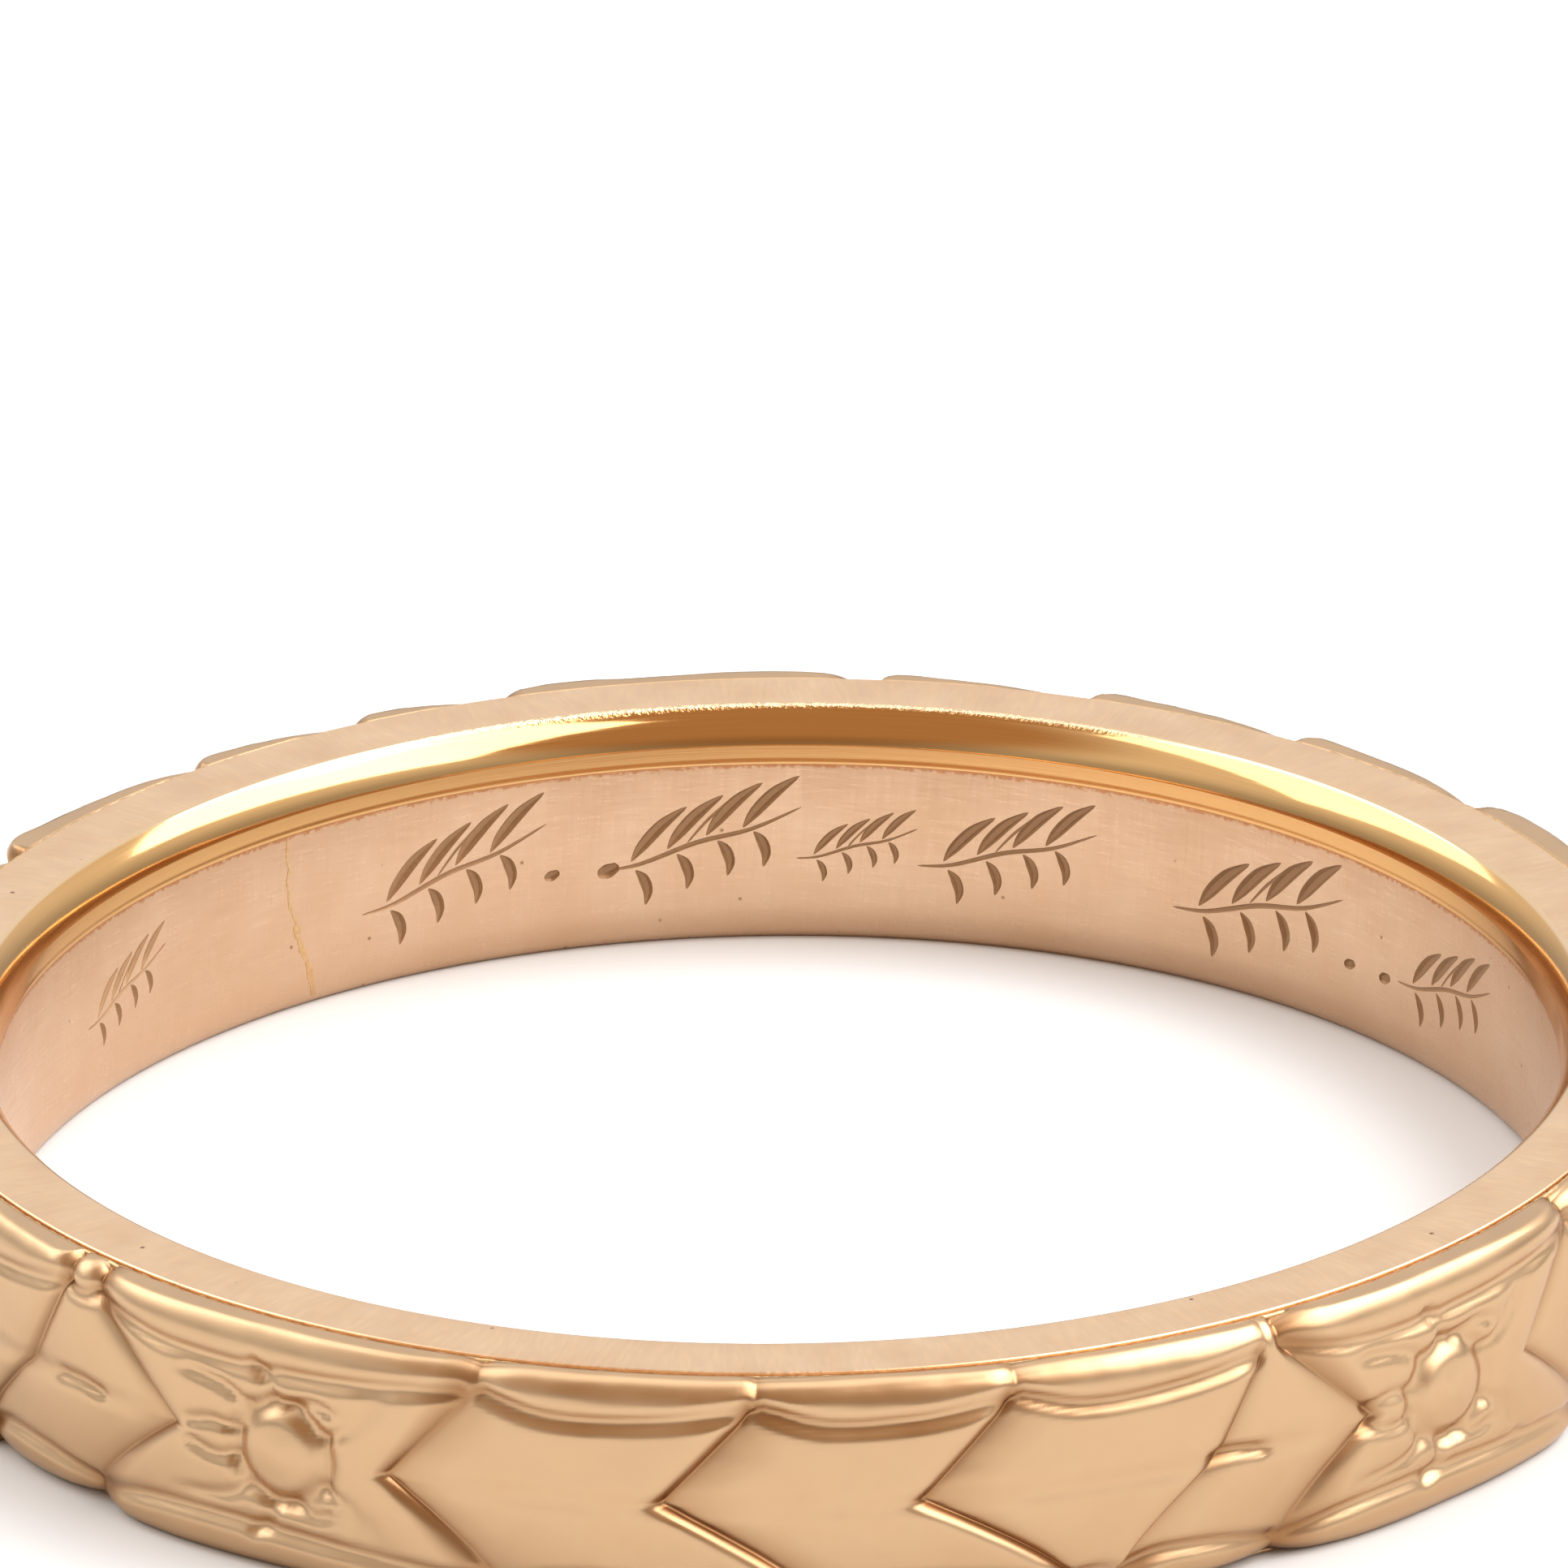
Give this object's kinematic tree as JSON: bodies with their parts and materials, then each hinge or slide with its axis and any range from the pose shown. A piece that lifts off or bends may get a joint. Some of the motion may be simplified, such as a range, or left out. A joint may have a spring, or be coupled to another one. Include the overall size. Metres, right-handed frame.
{
  "type": "wedding band",
  "caption": "Plain ring with a satin inside, polished inner edges, flat sides, and an outer sleeve carved with blossoms and leaves.",
  "frame": {"origin": "centre of the finger hole, half way through the band's width", "axes": "+Z along the finger hole, square to both flat sides; +X and +Y lie across the ring, with a blossom 16 degrees from +X towards +Y"},
  "size_m": [0.0204, 0.0204, 0.0028],
  "materials": {
    "rose_gold": "satin 14 karat rose gold, polished on its inner edges",
    "yellow_gold": "satin-polished 14 karat yellow gold, carved",
    "seam_solder": "porous hard gold solder",
    "edge_solder": "granular gold solder"
  },
  "bodies": {
    "root": {"inner_band": "rose_gold", "inner_band_seam_solder": "seam_solder", "carved_sleeve": "yellow_gold", "sleeve_seam_solder": "seam_solder", "upper_solder_line": "edge_solder", "lower_solder_line": "edge_solder"}
  },
  "joints": []
}
